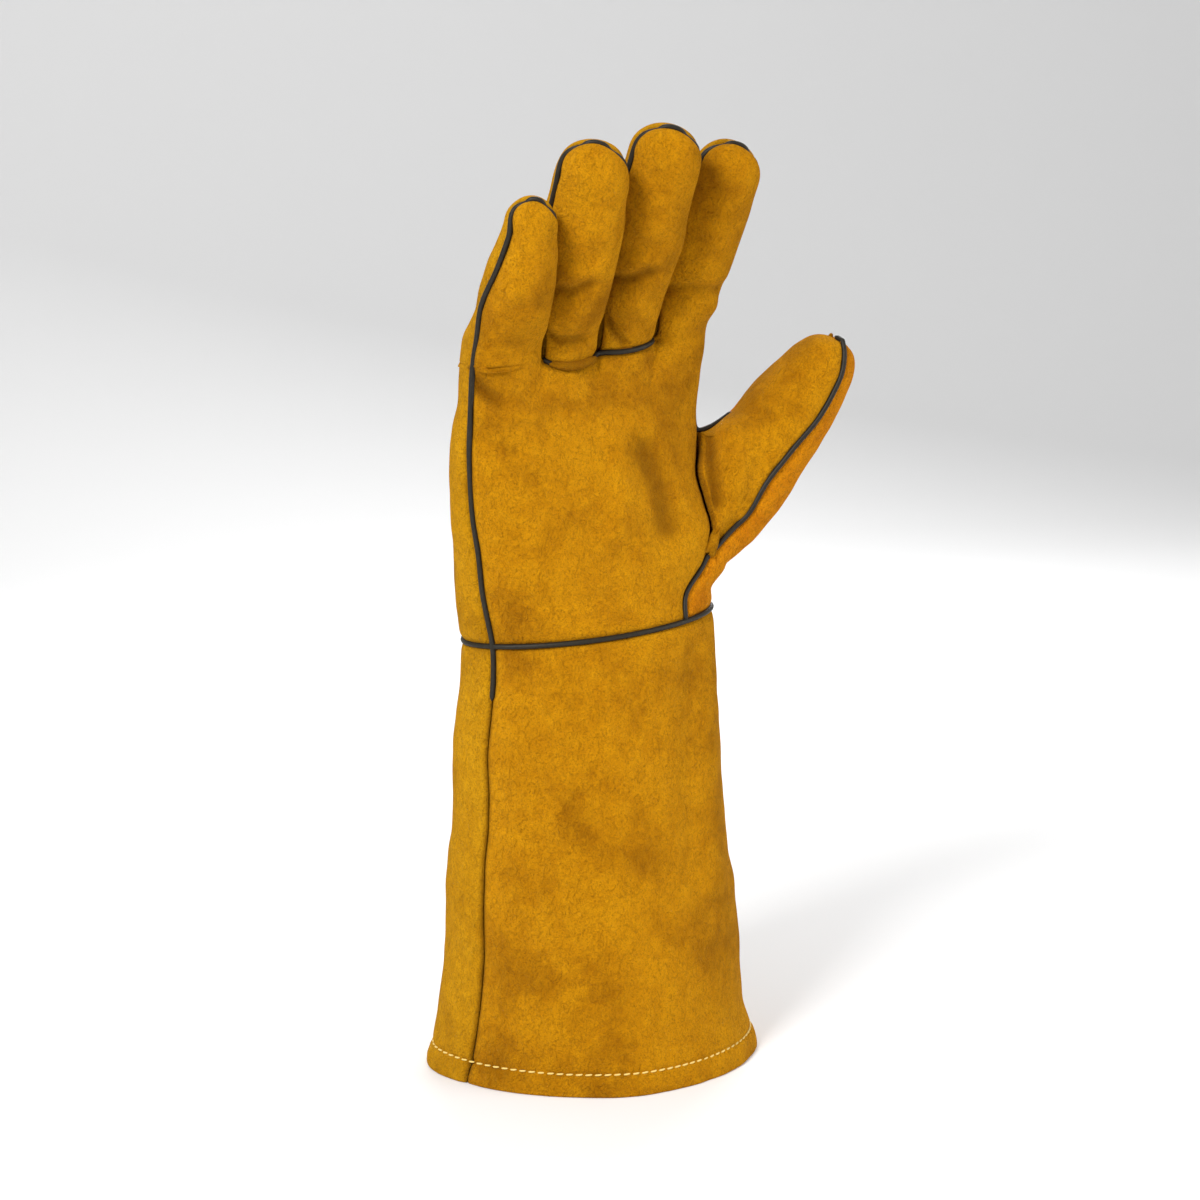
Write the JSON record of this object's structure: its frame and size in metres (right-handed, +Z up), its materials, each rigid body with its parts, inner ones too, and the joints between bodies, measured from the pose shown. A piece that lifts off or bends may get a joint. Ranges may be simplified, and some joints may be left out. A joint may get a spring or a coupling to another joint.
{
  "type": "welding gauntlet",
  "caption": "Right-hand leather welding gauntlet with a long flared cuff, welted seams and a rounded thumb, standing on its hem.",
  "frame": {"origin": "centre of the cuff opening, level with the lower edge of the hem", "axes": "+Z up the gauntlet to the fingertips, +X towards the thumb, -Y the palm side"},
  "size_m": [0.1826, 0.1119, 0.3941],
  "materials": {
    "suede": "rough split-leather nap, golden ochre",
    "suede_back": "rough split-leather nap, yellower",
    "suede_thumb": "rough split-leather nap, more orange",
    "welt": "smooth near-black strip"
  },
  "bodies": {
    "root": {"palm_panel": "suede", "ring_finger_front": "suede", "middle_finger_front": "suede", "back_panel": "suede_back", "thumb_front": "suede", "thumb_back": "suede_thumb", "cuff_front": "suede", "cuff_back": "suede_back", "side_welt": "welt", "ring_tip_welt": "welt", "middle_tip_welt": "welt", "index_welt": "welt", "finger_base_welt": "welt", "thumb_welt": "welt", "wrist_welt": "welt"}
  },
  "joints": []
}
